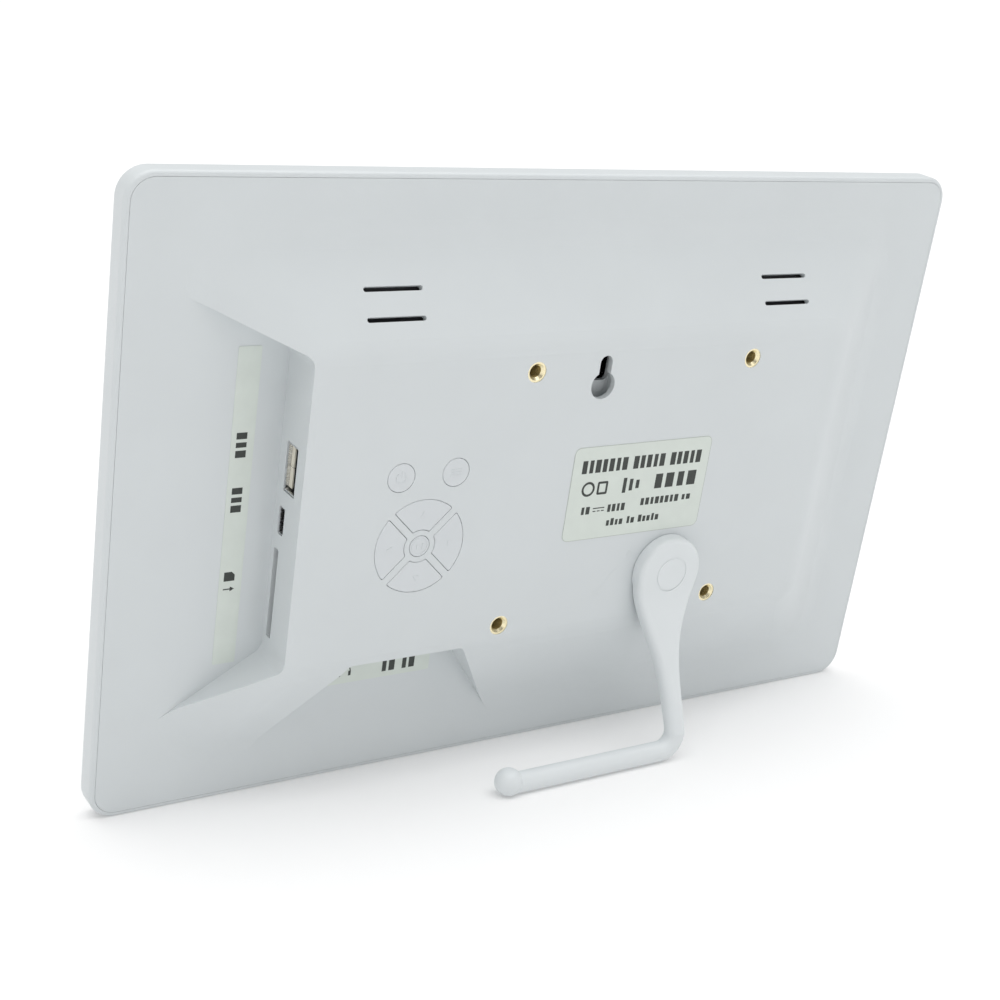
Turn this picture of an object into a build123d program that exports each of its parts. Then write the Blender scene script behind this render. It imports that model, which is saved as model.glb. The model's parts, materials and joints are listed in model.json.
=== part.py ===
from build123d import *
from math import atan2, cos, pi, radians, sin, tan
import os

# Digital photo frame: a plastic bezel and a raised rear cover around a 10.1 inch
# display, leaning back on an L-shaped leg that locks into the cover with a bayonet.
# Millimetres. +Z is up, the picture side faces -Y, the floor is Z = 0.
# "Left" and "right" are as seen from behind the frame, where its keys and sockets are.

# ---- driving dimensions ----
frame_width = 265.6
frame_height = 172.7
frame_corner = 7.6
lean_back = 9.5             # degrees from upright

front_depth = 7.6           # bezel face in front of the rear cover's rim
plateau_depth = 14.3        # raised middle of the cover behind its rim
bezel_lip = 1.4             # bezel wall beside the cover's rim
bezel_wall = 2.4            # bezel wall below the rim
bezel_face = 1.6            # thickness of the bezel's face
front_edge_radius = 1.5
rear_edge_radius = 1.2
fit_gap = 0.08              # cover to bezel, all round
cover_wall = 1.8

slope_foot = (224.2, 141.4)     # raised middle: width and height at the rim
slope_top = (178.0, 89.0)       # and at the plateau
foot_corner = 12.0
top_corner = 6.0
foot_blend = 15.0               # hollow radius where the slope leaves the rim
top_blend = 12.0                # round radius where it meets the plateau

window = (223.2, 125.8)
display_size = (235.0, 143.0)
display_front = -6.0
display_rear = -2.6
clip_post_x = 122.5              # screws of the display clips
clip_x = 119.6
clip_y = 48.0

insert_centre = (15.7, -0.8)    # centre of the four threaded inserts
insert_pitch = 75.0
insert_radius = 2.9
insert_bore = 1.65
insert_length = 6.4
insert_floor = 0.8              # the inserts are blind

keyhole_x = 0.7
keyhole_round_y = 31.6          # round part of the keyhole, for the screw's head
keyhole_round_radius = 3.9
keyhole_slide = 6.6             # from the round part to the end of the slot
keyhole_slot_width = 4.0        # for the screw's neck
hanger_centre_y = 33.6
hanger_pocket = (10.4, 17.6)
hanger_wall = 1.4
hanger_floor = 9.4              # depth of the pocket's floor
hanger_opening = (31.4, 42.0)   # the floor is open here, behind the slot

leg_pivot = (33.8, -27.6)
leg_head_radius = 11.0
leg_head_thickness = 4.6
leg_hub_radius = 7.0
leg_ring_radius = 5.2           # fine ring sunk into the top of the head
leg_ring_width = 0.6
leg_ring_depth = 0.12
leg_foot_x = 32.8               # middle of the arm where it turns into the foot
leg_foot_depth = 34.9
leg_foot_length = 58.3
leg_bar_radius = 3.0
leg_ball_radius = 4.0
leg_bar_lift = 0.12             # the foot's bar clears the floor, so that the ball carries it
leg_bend_radius = 5.5
leg_lug_radius = 9.0            # reach of the two bayonet lugs
leg_lug_width = 6.0
leg_lug_height = 1.6
leg_ledge_low = 9.4             # underside of the ledge that holds the lugs
leg_cup_floor = 4.8             # front of the cup that closes the socket
leg_gap = 0.05                  # running clearance of the leg in the cover

board_thickness = 1.6
board_rear = 1.6                # component face of the main board
key_board_thickness = 1.2
key_board_rear = 6.4
key_travel = 0.3
key_gap = 0.12                  # gap round each key in the cover
key_proud = 0.15                # height of the keys above the plateau
pad_centre = (-51.4, -10.3)
pad_radius = 13.4
pad_bar = 2.0                   # width of the cover's bars between the pad's keys
pad_ring = 4.6                  # radius of the cover's ring round the middle key
round_key_radius = 4.0
middle_key_radius = 3.0

bay_wall_x = -87.6              # wall of the side bay that holds the sockets
side_bay_wall = (-42.0, 43.6)   # its ends, and the ends of the bay's wider mouth
side_bay_mouth = (-64.5, 59.9)
side_bay_reach = -125.0
bay_wall_y = -43.8              # wall of the bottom bay that holds the jacks
bottom_bay_wall = (-68.0, -32.9)
bottom_bay_mouth = (-92.7, -8.2)
bottom_bay_reach = -79.3
side_bay_corner = 3.5
bottom_bay_corner = 2.0

# ---- the leaning panel frame: x to the right seen from behind, y up, z rearwards ----
lean = radians(lean_back)
corner_cut = cos(lean) + sin(lean) - 1      # share of an edge's radius that it falls short
edge_lift = rear_edge_radius * corner_cut
panel_height = frame_height / 2 * cos(lean) - edge_lift
ball_y = (edge_lift + leg_ball_radius + leg_foot_depth * sin(lean)) / cos(lean) - frame_height / 2
foot_y = ball_y - (leg_ball_radius - leg_bar_radius - leg_bar_lift) / cos(lean)
foremost = front_edge_radius * corner_cut - frame_height / 2 * sin(lean) - front_depth * cos(lean)
rearmost = ball_y * sin(lean) + leg_foot_depth * cos(lean) + leg_ball_radius
panel = Plane(
    origin=(0, -(foremost + rearmost) / 2, panel_height),
    x_dir=(-1, 0, 0),
    z_dir=(0, cos(lean), -sin(lean)),
)
panel_axis = Axis(panel.origin, panel.z_dir)

cover_width = frame_width - 2 * bezel_lip - 2 * fit_gap
cover_height = frame_height - 2 * bezel_lip - 2 * fit_gap
cover_corner = frame_corner - bezel_lip - fit_gap
inner_top = plateau_depth - cover_wall


def spot(x, y, depth):
    """Point given by its place on the panel and its depth behind the rim."""
    return panel.from_local_coords(Vector(x, y, depth))


def local(shape):
    """Centre of a shape in the panel frame."""
    return panel.to_local_coords(shape.center())


def side_plane(x):
    """Plane across the panel: x up the panel, y rearwards, normal to the right."""
    return Plane(origin=spot(x, 0, 0), x_dir=panel.y_dir, z_dir=panel.x_dir)


def under_plane(y):
    """Plane along the panel: x to the right, y rearwards, normal downwards."""
    return Plane(origin=spot(0, y, 0), x_dir=panel.x_dir, z_dir=-panel.y_dir)


def box_middle(box):
    """Middle of a box given by its left, lower, right and upper sides."""
    return ((box[0] + box[2]) / 2, (box[1] + box[3]) / 2)


def box_size(box):
    return (box[2] - box[0], box[3] - box[1])


def save(piece, name):
    piece.label = name
    export_step(piece, f"parts/{name}.step")


def plate(points, width, height, low, high, corner=0.0):
    """Equal flat blocks at the given places, parallel to the panel."""
    with BuildPart() as blocks:
        with BuildSketch(panel.offset(low)):
            with Locations(*points):
                if corner > 0:
                    RectangleRounded(width, height, corner)
                else:
                    Rectangle(width, height)
        extrude(amount=high - low)
    return blocks.part


def pegs(points, radius, low, high):
    """Equal round pegs at the given places, square to the panel."""
    with BuildPart() as rods:
        with BuildSketch(panel.offset(low)):
            with Locations(*points):
                Circle(radius)
        extrude(amount=high - low)
    return rods.part


def screws(points, head_low, head_height, shank_length, rearwards=1):
    """Pan-head screws: the head lies on head_low and the shank runs rearwards or forwards."""
    with BuildPart() as fasteners:
        with BuildSketch(panel.offset(head_low)):
            with Locations(*points):
                Circle(1.9)
        extrude(amount=-rearwards * head_height)
        with BuildSketch(panel.offset(head_low)):
            with Locations(*points):
                Circle(1.0)
        extrude(amount=rearwards * shank_length)
        with BuildSketch(panel.offset(head_low - rearwards * head_height)):
            with Locations(*points):
                Rectangle(2.2, 0.45)
                Rectangle(0.45, 2.2)
        extrude(amount=rearwards * head_height * 0.5, mode=Mode.SUBTRACT)
    return fasteners.part


os.makedirs("parts", exist_ok=True)

# ---- rear cover: rim plate, raised middle, two socket bays ----
slope_angle = atan2(plateau_depth, (slope_foot[1] - slope_top[1]) / 2)


def cover_form(wall):
    """Rim plate with the raised middle on it, moved inwards by a wall thickness."""
    shift = 2 * wall * tan(slope_angle / 2)
    with BuildPart() as form:
        with BuildSketch(panel.offset(-wall)):
            RectangleRounded(cover_width, cover_height, cover_corner)
        extrude(amount=-cover_wall)
        with BuildSketch(panel.offset(-wall)):
            RectangleRounded(slope_foot[0] - shift, slope_foot[1] - shift, foot_corner)
        with BuildSketch(panel.offset(plateau_depth - wall)):
            RectangleRounded(slope_top[0] - shift, slope_top[1] - shift, top_corner)
        loft(ruled=True)
        top_edges = form.edges().group_by(panel_axis)[-1]
        fillet(top_edges, top_blend - wall)
        rim_edges = form.edges().filter_by_position(panel_axis, -wall - 0.01, -wall + 0.01)
        fillet(rim_edges.filter_by(inside_slope_foot), foot_blend + wall)
    return form.part


def inside_slope_foot(edge):
    centre = local(edge)
    return abs(centre.X) < slope_foot[0] / 2 + 1 and abs(centre.Y) < slope_foot[1] / 2 + 1


def bay_cut(grow):
    """Space of the side bay and the bottom bay, widened and deepened by a wall thickness."""
    with BuildPart() as bays:
        with BuildSketch(panel.offset(-grow)):
            with BuildLine():
                Polyline(
                    (bay_wall_x, side_bay_wall[0]), (bay_wall_x, side_bay_wall[1]),
                    (side_bay_reach, side_bay_mouth[1]), (side_bay_reach, side_bay_mouth[0]),
                    close=True,
                )
            make_face()
            with BuildLine():
                Polyline(
                    (bottom_bay_wall[0], bay_wall_y), (bottom_bay_wall[1], bay_wall_y),
                    (bottom_bay_mouth[1], bottom_bay_reach), (bottom_bay_mouth[0], bottom_bay_reach),
                    close=True,
                )
            make_face()
            offset(amount=grow, kind=Kind.INTERSECTION)
        extrude(amount=plateau_depth + cover_wall + grow)
        upright_edges = bays.edges().filter_by(panel_axis)
        fillet(upright_edges.filter_by(on_side_bay_wall), side_bay_corner + grow)
        upright_edges = bays.edges().filter_by(panel_axis)
        fillet(upright_edges.filter_by(on_bottom_bay_wall), bottom_bay_corner + grow)
    return bays.part


def on_side_bay_wall(edge):
    centre = local(edge)
    return abs(centre.X - bay_wall_x) < 3 and abs(centre.Y) < side_bay_wall[1] + 4


def on_bottom_bay_wall(edge):
    centre = local(edge)
    reach = (bottom_bay_wall[1] - bottom_bay_wall[0]) / 2 + 4
    middle = (bottom_bay_wall[1] + bottom_bay_wall[0]) / 2
    return abs(centre.Y - bay_wall_y) < 3 and abs(centre.X - middle) < reach


def pad_key(direction, outer, inner, bar, low, high):
    """One quarter of the direction pad, cut off by the two diagonal bars."""
    with BuildPart() as key:
        with BuildSketch(panel.offset(low)) as quarter:
            with Locations(pad_centre):
                Circle(outer)
                Circle(inner, mode=Mode.SUBTRACT)
                Rectangle(3 * outer, bar, rotation=45, mode=Mode.SUBTRACT)
                Rectangle(3 * outer, bar, rotation=-45, mode=Mode.SUBTRACT)
                with Locations(Location((0, 0, 0), (0, 0, direction))):
                    Polygon(
                        (0, 0), (2 * outer, -2 * outer), (2 * outer, 2 * outer),
                        align=None, mode=Mode.INTERSECT,
                    )
            fillet(quarter.vertices(), 0.5)
        extrude(amount=high - low)
    return key.part


pad_directions = {"right": 0, "up": 90, "left": 180, "down": 270}
round_keys = {"power": ((-59.5, 10.0), round_key_radius), "menu": ((-43.0, 10.1), round_key_radius),
              "ok": (pad_centre, middle_key_radius)}
pad_switch_radius = 9.2


def switch_spot(name):
    """Place of the switch under a key."""
    if name in round_keys:
        return round_keys[name][0]
    turn = radians(pad_directions[name])
    return (pad_centre[0] + pad_switch_radius * cos(turn), pad_centre[1] + pad_switch_radius * sin(turn))


key_names = list(round_keys) + list(pad_directions)
switch_spots = [switch_spot(name) for name in key_names]

insert_spots = [
    (insert_centre[0] + across * insert_pitch / 2, insert_centre[1] + up * insert_pitch / 2)
    for across in (-1, 1)
    for up in (-1, 1)
]

board_box = (-85.3, -41.5, 8.0, 28.0)
board_posts = [(-81.0, 24.0), (4.0, 24.0), (5.2, -37.8), (-36.0, -36.8)]
key_board_box = (-71.0, -28.0, -33.0, 17.2)
key_board_posts = [(-68.6, 14.6), (-35.6, 14.6), (-62.3, -25.4), (-35.6, -25.4)]
post_radius = 2.3
post_bore = 1.05

# Sockets, as places on the two bay walls: across the wall, depth behind the rim.
usb_a_place = (11.9, 6.8)
usb_a_opening = (13.7, 6.2)
usb_a_outside = (13.1, 5.7)
micro_usb_place = (-3.3, 4.3)
micro_usb_opening = (7.9, 3.1)
micro_usb_outside = (7.4, 2.6)
card_place = (-24.4, 3.25)
card_opening = (25.7, 2.5)
card_socket_size = (27.4, 3.1)
phones_place = (-61.3, 5.0)
power_jack_place = (-43.7, 5.0)
jack_opening_radius = 3.1
jack_nose_radius = 2.8

# Speaker seats lie against the inside of the upper slope.
slope_run = (slope_foot[1] - slope_top[1]) / 2
seat_y = 55.5
seat_depth = (slope_foot[1] / 2 - seat_y) * plateau_depth / slope_run
speaker_x = 65.0
speaker_size = (30.0, 14.0)
ear_spacing = 36.0
ear_spots = [(-ear_spacing / 2, 0), (ear_spacing / 2, 0)]
sound_slot = (17.0, 1.3)
sound_slot_spots = [(1.0, 3.55), (1.0, -4.2)]


def speaker_plane(x, depth=0.0):
    """Plane on the upper slope: x to the right, y up the slope, normal outwards."""
    outwards = panel.y_dir * sin(slope_angle) + panel.z_dir * cos(slope_angle)
    return Plane(origin=spot(x, seat_y, seat_depth), x_dir=panel.x_dir, z_dir=outwards).offset(depth)


outer_form = cover_form(0)
inner_form = cover_form(cover_wall)
outer_bays = bay_cut(0)
inner_bays = bay_cut(cover_wall)

with BuildPart() as cavity:
    add(inner_form)
    add(inner_bays, mode=Mode.SUBTRACT)

snap_spots = [(x, y) for y in (-1, 1) for x in (-90, -30, 30, 90)]
snap_width = 8.0
snap_reach = 5.2
snap_wall_y = frame_height / 2 - bezel_wall
side_snap_spots = [(x, y) for x in (-1, 1) for y in (-45, 45)]
snap_wall_x = frame_width / 2 - bezel_wall

with BuildPart() as rear_cover:
    add(outer_form)
    add(outer_bays, mode=Mode.SUBTRACT)
    add(cavity.part, mode=Mode.SUBTRACT)

    # posts for the two circuit boards and the speakers, bosses for the inserts
    with BuildSketch(panel.offset(board_rear)):
        with Locations(*board_posts):
            Circle(post_radius)
    extrude(amount=inner_top - board_rear + 0.5)
    with BuildSketch(panel.offset(key_board_rear)):
        with Locations(*key_board_posts):
            Circle(post_radius)
    extrude(amount=inner_top - key_board_rear + 0.5)
    with BuildSketch(panel.offset(plateau_depth - insert_length - 1.6)):
        with Locations(*insert_spots):
            Circle(insert_radius + 1.8)
    extrude(amount=insert_length + 0.8)
    for x in (-speaker_x, speaker_x):
        with BuildSketch(speaker_plane(x, -cover_wall - 1.2)):
            with Locations(*ear_spots):
                Circle(post_radius)
        extrude(amount=1.8)

    # hanger pocket behind the keyhole: its floor is closed below and open behind the slot
    with BuildSketch(panel.offset(hanger_floor - hanger_wall)):
        with Locations((keyhole_x, hanger_centre_y)):
            RectangleRounded(hanger_pocket[0] + 2 * hanger_wall, hanger_pocket[1] + 2 * hanger_wall, 3)
    extrude(amount=inner_top - hanger_floor + hanger_wall + 0.5)
    with BuildSketch(panel.offset(hanger_floor)):
        with Locations((keyhole_x, hanger_centre_y)):
            RectangleRounded(*hanger_pocket, 2)
    extrude(amount=inner_top - hanger_floor, mode=Mode.SUBTRACT)
    with BuildSketch(panel.offset(hanger_floor - hanger_wall - 1)):
        with Locations((keyhole_x, (hanger_opening[0] + hanger_opening[1]) / 2)):
            RectangleRounded(hanger_pocket[0] - 0.8, hanger_opening[1] - hanger_opening[0], 1.5)
    extrude(amount=hanger_wall + 2, mode=Mode.SUBTRACT)
    with BuildSketch(panel.offset(hanger_floor)):
        with Locations((keyhole_x, keyhole_round_y)):
            Circle(keyhole_round_radius)
        with Locations((keyhole_x, keyhole_round_y + keyhole_slide / 2)):
            SlotCenterToCenter(keyhole_slide, keyhole_slot_width, rotation=90)
    extrude(amount=plateau_depth, mode=Mode.SUBTRACT)

    # bayonet socket for the leg: a bore with a ledge, lug notches and a closed cup
    with BuildSketch(panel.offset(leg_cup_floor)):
        with Locations(leg_pivot):
            Circle(leg_lug_radius + 2.2)
    extrude(amount=inner_top - leg_cup_floor + 0.5)
    with BuildSketch(panel.offset(leg_cup_floor + 1.6)):
        with Locations(leg_pivot):
            Circle(leg_lug_radius + 0.3)
    extrude(amount=leg_ledge_low - leg_cup_floor - 1.6, mode=Mode.SUBTRACT)
    with BuildSketch(panel.offset(leg_ledge_low)):
        with Locations(leg_pivot):
            Circle(leg_hub_radius + leg_gap)
        with Locations(Location((leg_pivot[0], leg_pivot[1], 0), (0, 0, 90))):
            Rectangle(2 * leg_lug_radius + 0.6, leg_lug_width + 0.8)
    extrude(amount=plateau_depth, mode=Mode.SUBTRACT)

    # seats of the threaded inserts
    with BuildSketch(panel.offset(plateau_depth - insert_length)):
        with Locations(*insert_spots):
            Circle(insert_radius)
    extrude(amount=plateau_depth, mode=Mode.SUBTRACT)

    # key openings
    with BuildSketch(panel.offset(inner_top - 1)):
        for centre, radius in round_keys.values():
            with Locations(centre):
                Circle(radius + key_gap)
    extrude(amount=plateau_depth, mode=Mode.SUBTRACT)
    for direction in pad_directions.values():
        opening = pad_key(
            direction, pad_radius + key_gap, pad_ring, pad_bar, inner_top - 1, plateau_depth + 1
        )
        add(opening, mode=Mode.SUBTRACT)

    # openings in the side bay's wall
    with BuildSketch(side_plane(bay_wall_x - 1)):
        with Locations(usb_a_place):
            RectangleRounded(*usb_a_opening, 0.5)
        with Locations(micro_usb_place):
            RectangleRounded(*micro_usb_opening, 0.8)
        with Locations(card_place):
            RectangleRounded(*card_opening, 0.4)
    extrude(amount=cover_wall + 2, mode=Mode.SUBTRACT)

    # openings in the bottom bay's wall
    with BuildSketch(under_plane(bay_wall_y - 1)):
        with Locations(phones_place, power_jack_place):
            Circle(jack_opening_radius)
    extrude(amount=-cover_wall - 2, mode=Mode.SUBTRACT)

    # two rows of sound slots over each speaker
    for x in (-speaker_x, speaker_x):
        with BuildSketch(speaker_plane(x, -cover_wall - 1)):
            with Locations(*sound_slot_spots):
                SlotOverall(*sound_slot)
        extrude(amount=cover_wall + 4, mode=Mode.SUBTRACT)

    # pilot holes
    with BuildSketch(panel.offset(board_rear)):
        with Locations(*board_posts):
            Circle(post_bore)
    extrude(amount=6.0, mode=Mode.SUBTRACT)
    with BuildSketch(panel.offset(key_board_rear)):
        with Locations(*key_board_posts):
            Circle(post_bore)
    extrude(amount=5.0, mode=Mode.SUBTRACT)
    for x in (-speaker_x, speaker_x):
        with BuildSketch(speaker_plane(x, -cover_wall - 1.2)):
            with Locations(*ear_spots):
                Circle(post_bore)
        extrude(amount=2.0, mode=Mode.SUBTRACT)

    # snap tongues round the rim, each with a barb in the bezel's wall
    for x, end in snap_spots:
        with BuildSketch(panel.offset(-cover_wall)):
            with Locations((x, end * (snap_wall_y - 0.15 - 0.6))):
                Rectangle(snap_width, 1.2)
        extrude(amount=-snap_reach + cover_wall)
        with BuildSketch(panel.offset(-3.2)):
            with Locations((x, end * (snap_wall_y + 0.1))):
                Rectangle(snap_width - 1, 0.9)
        extrude(amount=-1.4)
    for end, y in side_snap_spots:
        with BuildSketch(panel.offset(-cover_wall)):
            with Locations((end * (snap_wall_x - 0.15 - 0.6), y)):
                Rectangle(1.2, snap_width)
        extrude(amount=-snap_reach + cover_wall)
        with BuildSketch(panel.offset(-3.2)):
            with Locations((end * (snap_wall_x + 0.1), y)):
                Rectangle(0.9, snap_width - 1)
        extrude(amount=-1.4)
save(rear_cover.part, "rear_cover")

# ---- front bezel: a tray with the picture window ----
with BuildPart() as front_bezel:
    with BuildSketch(panel.offset(-front_depth)):
        RectangleRounded(frame_width, frame_height, frame_corner)
    extrude(amount=front_depth)
    fillet(front_bezel.edges().group_by(panel_axis)[0], front_edge_radius)
    fillet(front_bezel.edges().group_by(panel_axis)[-1], rear_edge_radius)
    with BuildSketch(panel.offset(-front_depth + bezel_face)):
        RectangleRounded(
            frame_width - 2 * bezel_wall, frame_height - 2 * bezel_wall, frame_corner - bezel_wall
        )
    extrude(amount=front_depth, mode=Mode.SUBTRACT)
    with BuildSketch(panel.offset(-cover_wall)):
        RectangleRounded(
            frame_width - 2 * bezel_lip, frame_height - 2 * bezel_lip, frame_corner - bezel_lip
        )
    extrude(amount=front_depth, mode=Mode.SUBTRACT)
    with BuildSketch(panel.offset(-front_depth)):
        RectangleRounded(*window, 0.6)
    extrude(amount=bezel_face, mode=Mode.SUBTRACT)
    window_edges = front_bezel.edges().group_by(panel_axis)[0].filter_by(
        lambda edge: abs(local(edge).X) < window[0] / 2 + 1 and abs(local(edge).Y) < window[1] / 2 + 1
    )
    chamfer(window_edges, 0.7)

    # ribs that locate the display
    rib_gap = 0.3
    with BuildSketch(panel.offset(display_front)):
        RectangleRounded(display_size[0] + 3.0, display_size[1] + 3.0, 1.5)
        Rectangle(display_size[0] + 2 * rib_gap, display_size[1] + 2 * rib_gap, mode=Mode.SUBTRACT)
        Rectangle(display_size[0] - 30, frame_height, mode=Mode.SUBTRACT)
        Rectangle(frame_width, display_size[1] - 30, mode=Mode.SUBTRACT)
    extrude(amount=2.6)

    # posts for the display clips
    clip_posts = [(side * clip_post_x, y) for side in (-1, 1) for y in (-clip_y, clip_y)]
    with BuildSketch(panel.offset(display_front)):
        with Locations(*clip_posts):
            Circle(post_radius)
    extrude(amount=display_rear - display_front)
    with BuildSketch(panel.offset(display_rear)):
        with Locations(*clip_posts):
            Circle(post_bore)
    extrude(amount=-3.0, mode=Mode.SUBTRACT)

    # pockets for the barbs of the snap tongues
    for x, end in snap_spots:
        with BuildSketch(panel.offset(-4.8)):
            with Locations((x, end * (snap_wall_y + 0.35))):
                Rectangle(snap_width + 0.4, 0.9)
        extrude(amount=1.8, mode=Mode.SUBTRACT)
    for end, y in side_snap_spots:
        with BuildSketch(panel.offset(-4.8)):
            with Locations((end * (snap_wall_x + 0.35), y)):
                Rectangle(0.9, snap_width + 0.4)
        extrude(amount=1.8, mode=Mode.SUBTRACT)
save(front_bezel.part, "front_bezel")

# ---- threaded inserts for a wall bracket ----
with BuildPart() as brass_inserts:
    with BuildSketch(panel.offset(plateau_depth - insert_length)):
        with Locations(*insert_spots):
            Circle(insert_radius)
    extrude(amount=insert_length - 0.2)
    with BuildSketch(panel.offset(plateau_depth - insert_length + insert_floor)):
        with Locations(*insert_spots):
            Circle(insert_bore)
    extrude(amount=insert_length, mode=Mode.SUBTRACT)
    bore_mouths = brass_inserts.edges().group_by(panel_axis)[-1].filter_by(
        lambda edge: edge.radius < insert_bore + 0.1
    )
    chamfer(bore_mouths, 0.7)
save(brass_inserts.part, "brass_inserts")

# ---- labels ----
label_thickness = 0.12
rating_label = plate([(19.4, -0.6)], 48.6, 28.4, plateau_depth, plateau_depth + label_thickness, 2.0)
save(rating_label, "rating_label")
side_port_label = plate([(-98.3, -1.0)], 6.3, 88.0, 0, label_thickness, 0.4)
save(side_port_label, "side_port_label")
bottom_port_label = plate([(-52.0, -54.5)], 36.0, 5.8, 0, label_thickness, 0.4)
save(bottom_port_label, "bottom_port_label")

# ---- display module ----
tray_skin = 0.4
with BuildPart() as display_tray:
    with BuildSketch(panel.offset(display_front)):
        Rectangle(*display_size)
    extrude(amount=display_rear - display_front)
    with BuildSketch(panel.offset(display_front)):
        Rectangle(display_size[0] - 1.6, display_size[1] - 1.6)
    extrude(amount=display_rear - display_front - tray_skin, mode=Mode.SUBTRACT)
    # pressed stiffening beads
    with BuildSketch(panel.offset(display_rear)):
        with Locations((-60, -62), (60, -62), (-60, 64), (60, 64)):
            SlotOverall(70, 3.0)
    extrude(amount=-0.2, mode=Mode.SUBTRACT)
save(display_tray.part, "display_tray")

display_inner = (display_size[0] - 2.0, display_size[1] - 2.0)
glass_thickness = 1.1
guide_front = display_front + glass_thickness + 0.1
guide_rear = display_rear - tray_skin - 0.05
strip_height = 2.0
display_glass = plate([(0, 0)], *display_inner, display_front, display_front + glass_thickness)
save(display_glass, "display_glass")
light_guide = plate(
    [(0, strip_height / 2 + 0.1)], display_inner[0], display_inner[1] - strip_height - 0.2,
    guide_front, guide_rear,
)
save(light_guide, "light_guide")

led_count = 27
led_pitch = 8.2
with BuildPart() as led_strip:
    with BuildSketch(panel.offset(guide_front + 0.1)):
        with Locations((0, -display_inner[1] / 2 + 0.4)):
            Rectangle(display_inner[0] - 6, 0.6)
    extrude(amount=guide_rear - guide_front - 0.2)
    with BuildSketch(panel.offset(guide_front + 0.3)):
        with Locations((0, -display_inner[1] / 2 + 1.1)):
            with GridLocations(led_pitch, 1, led_count, 1):
                Rectangle(3.6, 0.9)
    extrude(amount=guide_rear - guide_front - 0.6)
save(led_strip.part, "led_strip")

clip_thickness = 0.3
clip_centres = [(side * clip_x, y) for side in (-1, 1) for y in (-clip_y, clip_y)]
with BuildPart() as display_clips:
    with BuildSketch(panel.offset(display_rear)):
        with Locations(*clip_centres):
            RectangleRounded(13.0, 9.0, 1.5)
        with Locations(*clip_posts):
            Circle(1.1, mode=Mode.SUBTRACT)
    extrude(amount=clip_thickness)
save(display_clips.part, "display_clips")

with BuildPart() as clip_screws:
    with BuildSketch(panel.offset(display_rear + clip_thickness)):
        with Locations(*clip_posts):
            Circle(1.9)
    extrude(amount=0.4)
    with BuildSketch(panel.offset(display_rear + clip_thickness)):
        with Locations(*clip_posts):
            Circle(1.0)
    extrude(amount=-3.0)
    with BuildSketch(panel.offset(display_rear + clip_thickness + 0.4)):
        with Locations(*clip_posts):
            Rectangle(2.2, 0.45)
            Rectangle(0.45, 2.2)
    extrude(amount=-0.2, mode=Mode.SUBTRACT)
save(clip_screws.part, "clip_screws")

# ---- main board and what is soldered to it ----
with BuildPart() as main_board:
    with BuildSketch(panel.offset(board_rear - board_thickness)):
        with Locations(box_middle(board_box)):
            RectangleRounded(*box_size(board_box), 1.0)
        with Locations(*board_posts):
            Circle(1.2, mode=Mode.SUBTRACT)
    extrude(amount=board_thickness)
save(main_board.part, "main_board")
save(screws(board_posts, board_rear - board_thickness, 1.4, 6.0), "main_board_screws")

processor = plate([(-18.0, -4.0)], 14.0, 14.0, board_rear, board_rear + 1.3, 0.4)
save(processor, "processor")
memory_chips = plate([(-18.0, 13.5), (-2.5, -4.0)], 10.0, 8.0, board_rear, board_rear + 1.1, 0.3)
save(memory_chips, "memory_chips")
power_inductors = plate([(-28.0, 22.0), (-18.0, 23.5)], 6.6, 6.6, board_rear, board_rear + 3.0, 1.2)
save(power_inductors, "power_inductors")
capacitor_spots = [(-28.6, 8.0), (-28.6, -26.0), (-19.5, -24.0), (-9.0, -22.0)]
with BuildPart() as filter_capacitors:
    with BuildSketch(panel.offset(board_rear)):
        with Locations(*capacitor_spots):
            Rectangle(6.6, 6.6)
    extrude(amount=0.8)
    with BuildSketch(panel.offset(board_rear + 0.8)):
        with Locations(*capacitor_spots):
            Circle(3.1)
    extrude(amount=4.8)
save(filter_capacitors.part, "filter_capacitors")
with BuildPart() as crystal:
    with BuildSketch(panel.offset(board_rear)):
        with Locations((-4.0, 8.6)):
            SlotOverall(10.4, 4.4)
    extrude(amount=3.2)
    fillet(crystal.edges().group_by(panel_axis)[-1], 0.6)
save(crystal.part, "crystal")

socket_face = bay_wall_x + 0.25       # sockets end just inside the outer face of the wall


def tube_shell(plane, place, outer, wall, length, back):
    """Folded metal shell of a socket, open at its mouth."""
    with BuildPart() as shell:
        with BuildSketch(plane):
            with Locations(place):
                RectangleRounded(*outer, 0.5)
        extrude(amount=length)
        with BuildSketch(plane):
            with Locations(place):
                RectangleRounded(outer[0] - 2 * wall, outer[1] - 2 * wall, 0.3)
        extrude(amount=length - back, mode=Mode.SUBTRACT)
    return shell.part


side_mouth = side_plane(socket_face)
save(tube_shell(side_mouth, usb_a_place, usb_a_outside, 0.3, 14.0, 0.3), "usb_a_shell")
with BuildPart() as usb_a_insert:
    with BuildSketch(side_plane(socket_face + 1.0)):
        with Locations((usb_a_place[0], usb_a_place[1] - 1.6)):
            Rectangle(11.2, 1.6)
    extrude(amount=9.0)
    with BuildSketch(side_plane(socket_face + 10.0)):
        with Locations(usb_a_place):
            RectangleRounded(12.4, 5.0, 0.5)
    extrude(amount=3.6)
save(usb_a_insert.part, "usb_a_insert")

save(tube_shell(side_mouth, micro_usb_place, micro_usb_outside, 0.25, 5.4, 0.25), "micro_usb_shell")
with BuildPart() as micro_usb_insert:
    with BuildSketch(side_plane(socket_face + 0.6)):
        with Locations((micro_usb_place[0], micro_usb_place[1] + 0.2)):
            Rectangle(3.8, 0.6)
    extrude(amount=3.2)
    with BuildSketch(side_plane(socket_face + 3.8)):
        with Locations(micro_usb_place):
            Rectangle(6.6, 1.9)
    extrude(amount=1.2)
save(micro_usb_insert.part, "micro_usb_insert")

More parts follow.
